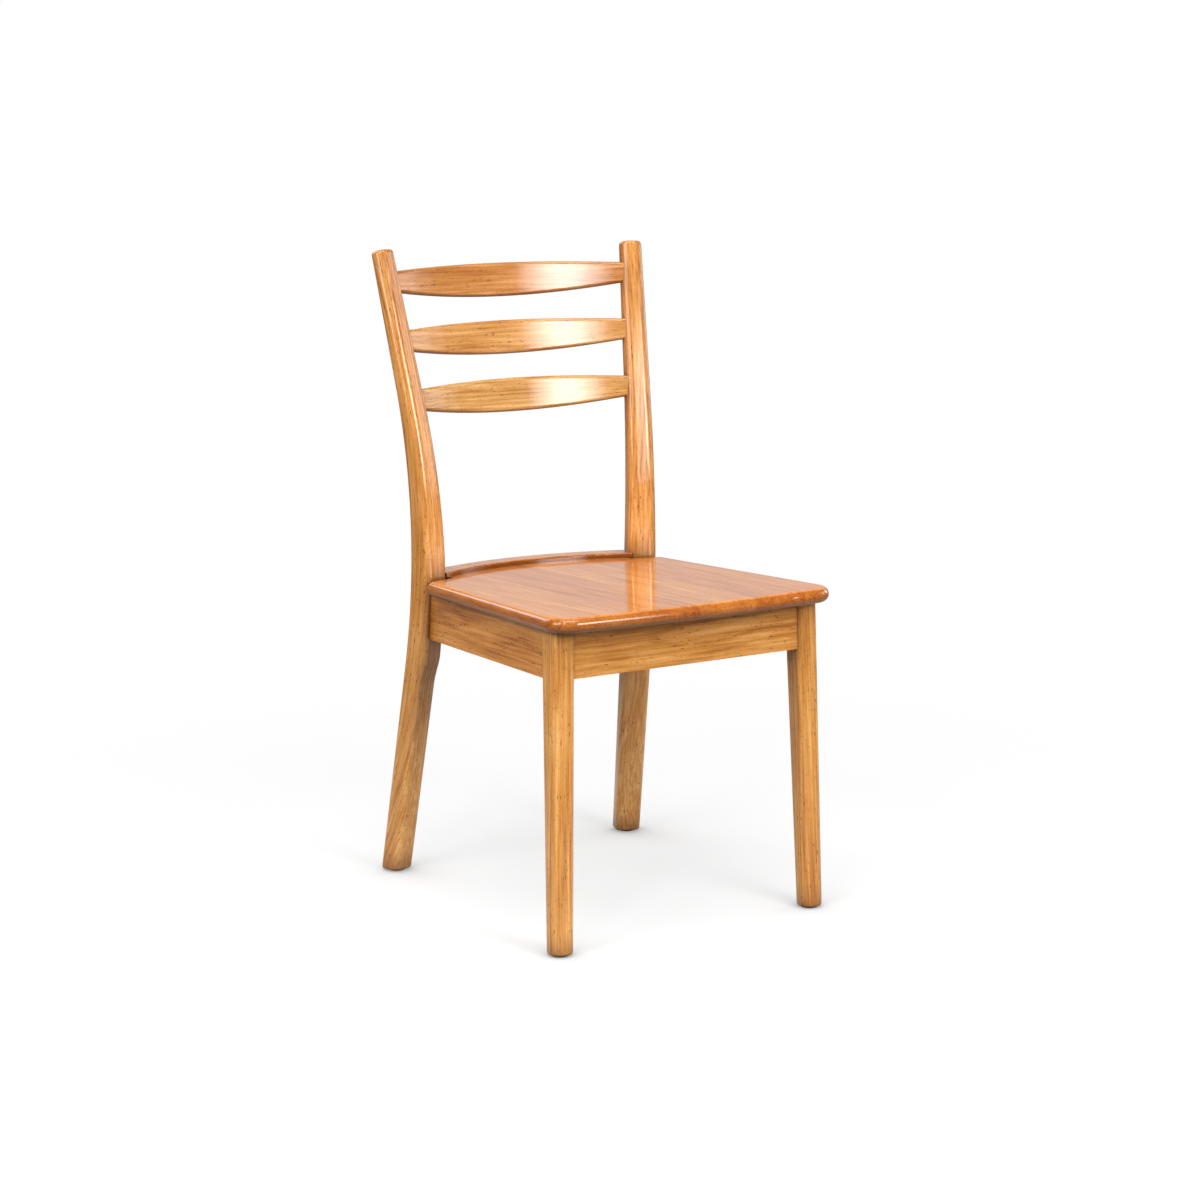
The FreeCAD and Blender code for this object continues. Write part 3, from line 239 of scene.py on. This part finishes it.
X, Y, Z = Vector((1, 0, 0)), Vector((0, 1, 0)), Vector((0, 0, 1))
post_turn = math.radians(19.07)

# legs and posts: grain along their length
dress("leg_front_left", wood("leg_front_left_wood", (-0.196, -0.221, 0.215), (0.010, 0.018, 0.427), X, 1.3,
                             pith=(0.034, 0.052), ring=0.0042, figure=0.016, tone=0.10,
                             tint=(1.03, 1.08, 1.16)))
dress("leg_front_right", wood("leg_front_right_wood", (0.196, -0.221, 0.215), (-0.010, 0.018, 0.427), X, 2.9,
                              pith=(0.012, 0.060), ring=0.0046, figure=0.018, tone=0.06,
                              tint=(1.0, 1.05, 1.12), knot=(0.2125, -0.2445, 0.046)))
# the posts' fade is painted shade towards their tops and painted light towards their feet
for side, name, seed, pith in ((-1, "left", 4.1, (0.045, 0.020)), (1, "right", 5.7, (0.03, -0.045))):
    outward = Vector((side * math.cos(post_turn), -math.sin(post_turn), 0))
    dress("post_rear_" + name, wood(f"post_{name}_wood", (side * 0.177, 0.166, 0.495), Z, outward, seed,
                                    pith=pith, ring=0.0048, bend=0.5 * side, figure=0.022, tone=0.05,
                                    tint=(0.92, 0.96, 1.08), painted_fade=-0.42))

# aprons: grain across or along the seat
dress("apron_front", wood("apron_front_wood", (0, -0.225, 0.39), X, Z, 7.2, pith=(0.018, 0.085), ring=0.0036,
                          figure=0.026, tone=0.0, tint=(1.08, 1.12, 1.16)))
dress("apron_rear", wood("apron_rear_wood", (0, 0.15, 0.38), X, Z, 8.3, pith=(0.03, 0.09), ring=0.0038))
for side, name, seed in ((-1, "left", 9.4), (1, "right", 10.6)):
    dress("apron_" + name, wood(f"apron_{name}_wood", (side * 0.19, -0.03, 0.385),
                                (-side * 0.064, 1, -0.035), Z, seed, pith=(0.03, 0.10), ring=0.0042,
                                figure=0.03, tone=-0.08, tint=(1.10, 1.08, 1.06)))

# slats: grain follows the bow; their tints paint shade, darkest on the top slat and lightest on the bottom one
slats = [("top", 11.1, 0.846, 0.257, (0.02, 0.05), 0.05, (0.75, 0.73, 0.86)),
         ("middle", 12.6, 0.765, 0.238, (-0.03, 0.06), 0.10, (0.84, 0.92, 1.16)),
         ("bottom", 13.8, 0.684, 0.220, (0.035, 0.045), 0.08, (0.85, 1.03, 1.38))]
for name, seed, height, y, pith, tone, tint in slats:
    dress("slat_" + name, wood(f"slat_{name}_wood", (0, y, height), X, (0, 0.156, 0.988), seed, pith=pith,
                               ring=0.0040, bend=1.03, figure=0.026, tone=tone, tint=tint, coat=0.09))

# seat: staves side by side, grain from front to back
staves = [("far_left", -0.16, 15.3, (0.02, 0.040), 0.07, (1.02, 0.84, 0.62)),
          ("left", -0.06, 16.9, (0.01, -0.030), -0.05, (1.0, 0.80, 0.57)),
          ("centre", 0.033, 18.2, (-0.02, 0.028), 0.10, (1.04, 0.87, 0.64)),
          ("right", 0.12, 19.5, (0.025, 0.034), -0.03, (1.03, 0.82, 0.57)),
          ("far_right", 0.19, 21.4, (0.0, 0.026), 0.05, (1.03, 0.83, 0.58))]
# the staves' edge setting paints shade on the seat's rounded edges
for name, x, seed, pith, tone, tint in staves:
    dress("seat_stave_" + name, wood(f"stave_{name}_wood", (x, -0.05, 0.44), (0, 1, -0.035), X, seed,
                                     pith=pith, ring=0.0040, figure=0.016, tone=tone, tint=tint,
                                     pores=0.6, edge_shade=0.85, depth=0.85))

# corner blocks and dowels
for i, name in enumerate(n for n in nodes if n.startswith("corner_block")):
    dress(name, wood(name + "_wood", (0.1 * i, 0, 0.4), X, Z, 23.0 + i, ring=0.0035, tone=0.05, coat=0.3))
for i, name in enumerate(("dowels_front_apron", "dowels_side_aprons", "dowels_rear_apron")):
    axis = Y if "side" in name else X
    dress(name, wood(name + "_wood", (0, 0, 0.4), axis, Z, 29.0 + i, ring=0.003, tone=0.2,
                     tint=(1.0, 1.2, 1.7)))


def plain(name, color, metallic, rough, speckle):
    """Metal or plastic with fine unevenness in colour and gloss."""
    material = bpy.data.materials.new(name)
    g = empty_tree(material)
    place = g.add("TexCoord").outputs["Object"]
    spots = g.noise(g.scaled(place, 900, 900, 900), 3.0)
    smudge = g.noise(g.scaled(place, 90, 90, 90), 2.0)
    dark = tuple(c * (1 - speckle) for c in color)
    tint = g.ramp(g.math("MULTIPLY_ADD", spots, 0.5, g.math("MULTIPLY", smudge, 0.5)),
                  [(0.3, dark), (0.7, color)])
    roughness = g.math("MULTIPLY_ADD", smudge, 0.25, rough - 0.1)
    bump = g.add("Bump", {"Height": spots, "Strength": 0.1, "Distance": 0.0001})
    shader = g.add("BsdfPrincipled", {"Base Color": tint, "Roughness": roughness, "Metallic": metallic,
                                      "Normal": bump.outputs[0]})
    g.add("OutputMaterial", {"Surface": shader.outputs[0]})
    return material


steel = plain("zinc_steel", (0.60, 0.58, 0.53), 1.0, 0.32, 0.25)
for name in ("screws_corner_blocks", "screws_seat", "glide_nails"):
    dress(name, steel)
dress("glides", plain("glide_plastic", (0.035, 0.030, 0.027), 0.0, 0.5, 0.3))

# Studio: a white floor and surroundings, a soft key from the front, and weaker sides

floor_mesh = bpy.data.meshes.new("studio_floor")
far = 30.0
floor_mesh.from_pydata([(-far, -far, 0), (far, -far, 0), (far, far, 0), (-far, far, 0)], [], [(0, 1, 2, 3)])
floor = bpy.data.objects.new("studio_floor", floor_mesh)
bpy.context.scene.collection.objects.link(floor)

material = bpy.data.materials.new("studio_white")
g = empty_tree(material)
path = g.add("LightPath")
shown = g.math("MAXIMUM", path.outputs["Is Camera Ray"], g.math("MAXIMUM", path.outputs["Is Glossy Ray"],
               path.outputs["Is Transmission Ray"]))
matte = g.add("BsdfDiffuse", {"Color": (0.35, 0.35, 0.35, 1)})
seen = g.math("SUBTRACT", shown, g.math("MULTIPLY", path.outputs["Is Glossy Ray"], 0.8))
# painted shadow: near the feet, ambient occlusion dims the floor's glow
contact_shadow = g.step(g.add("AmbientOcclusion", {"Distance": 0.1}, samples=8).outputs["AO"], 0.45, 1.0)
seen = g.math("MULTIPLY", seen, g.math("MULTIPLY_ADD", contact_shadow, 0.5, 0.5))
glow = g.add("Emission", {"Color": (1, 1, 1, 1), "Strength": g.math("MULTIPLY", seen, 0.58)})
lit = g.add("AddShader", {0: matte.outputs[0], 1: glow.outputs[0]})
pure = g.add("Emission", {"Color": (1, 1, 1, 1), "Strength": seen})
place = g.add("TexCoord").outputs["Object"]
away = g.add("VectorMath", {0: place}, operation="LENGTH").outputs["Value"]
both = g.add("MixShader", {0: g.step(away, 0.5, 1.5), 1: lit.outputs[0], 2: pure.outputs[0]})
g.add("OutputMaterial", {"Surface": both.outputs[0]})
floor_mesh.materials.append(material)

world = bpy.data.worlds.new("studio_world")
bpy.context.scene.world = world
g = empty_tree(world)
path = g.add("LightPath")
shown = g.math("MAXIMUM", path.outputs["Is Camera Ray"], path.outputs["Is Transmission Ray"])
dim = g.add("Background", {"Color": (1, 1, 1, 1), "Strength": 0.32})
behind = g.dot(g.add("TexCoord").outputs["Generated"], (0.53, 0.85, 0.0))
shine = g.math("MULTIPLY_ADD", g.step(behind, 0.55, 0.9), 0.44, 0.12)
mirror = g.add("Background", {"Color": (1, 1, 1, 1), "Strength": shine})
white = g.add("Background", {"Color": (1, 1, 1, 1), "Strength": 1.0})
first = g.add("MixShader", {0: path.outputs["Is Glossy Ray"], 1: dim.outputs[0], 2: mirror.outputs[0]})
second = g.add("MixShader", {0: shown, 1: first.outputs[0], 2: white.outputs[0]})
g.add("OutputWorld", {"Surface": second.outputs[0]})


def softbox(name, azimuth, elevation, distance, size, power, aim=(0, 0, 0.55)):
    """An area light; azimuth 0 is straight in front of the chair, positive to the right."""
    light = bpy.data.lights.new(name, "AREA")
    light.shape = "RECTANGLE"
    light.size, light.size_y = size
    light.energy = power
    lamp = bpy.data.objects.new(name, light)
    a, e = math.radians(azimuth), math.radians(elevation)
    toward = Vector((math.sin(a) * math.cos(e), -math.cos(a) * math.cos(e), math.sin(e)))
    lamp.location = Vector(aim) + toward * distance
    lamp.rotation_euler = toward.to_track_quat("Z", "Y").to_euler()
    bpy.context.scene.collection.objects.link(lamp)


# the key is brightest in its middle: seven boxes, one in front of the other
key_power = 8.2
for i in range(7):
    wide, high = 1.40 - 0.18 * i, 1.16 - 0.13 * i
    softbox(f"key_{i}", 12, 12.5, 2.6 - 0.01 * i, (wide, high), key_power * wide * high, aim=(0, 0, 0.77))
softbox("overhead", -20, 72, 2.6, (2.4, 2.4), 40)
softbox("overhead_strip", -30, 64, 2.55, (1.8, 0.45), 15)
softbox("left_strip", -50, 25, 2.6, (0.35, 0.9), 9, aim=(0, 0, 0.8))
softbox("right_strip", 96, 6, 3.0, (0.6, 1.0), 9, aim=(0, 0, 0.8))
softbox("side", 70, 14, 3.0, (1.0, 1.4), 5)
softbox("side_middle", 72, 14, 2.98, (0.5, 1.2), 3)
softbox("left", -78, 25, 3.0, (1.4, 1.8), 41)
softbox("rear", -160, 32, 3.0, (2.0, 1.6), 26)

# Camera, from the fit to the photograph

az, el, distance = math.radians(-32.095), math.radians(10.842), 3.7209
target = Vector((0, -0.00783, 0.414427))
back = Vector((math.sin(az) * math.cos(el), -math.cos(az) * math.cos(el), math.sin(el)))
data = bpy.data.cameras.new("camera")
data.sensor_width = 36
data.lens = 80.74
data.clip_end = 100
camera = bpy.data.objects.new("camera", data)
camera.location = target + back * distance
camera.rotation_euler = back.to_track_quat("Z", "Y").to_euler()
bpy.context.scene.collection.objects.link(camera)
bpy.context.scene.camera = camera
bpy.context.scene.view_settings.view_transform = "Standard"
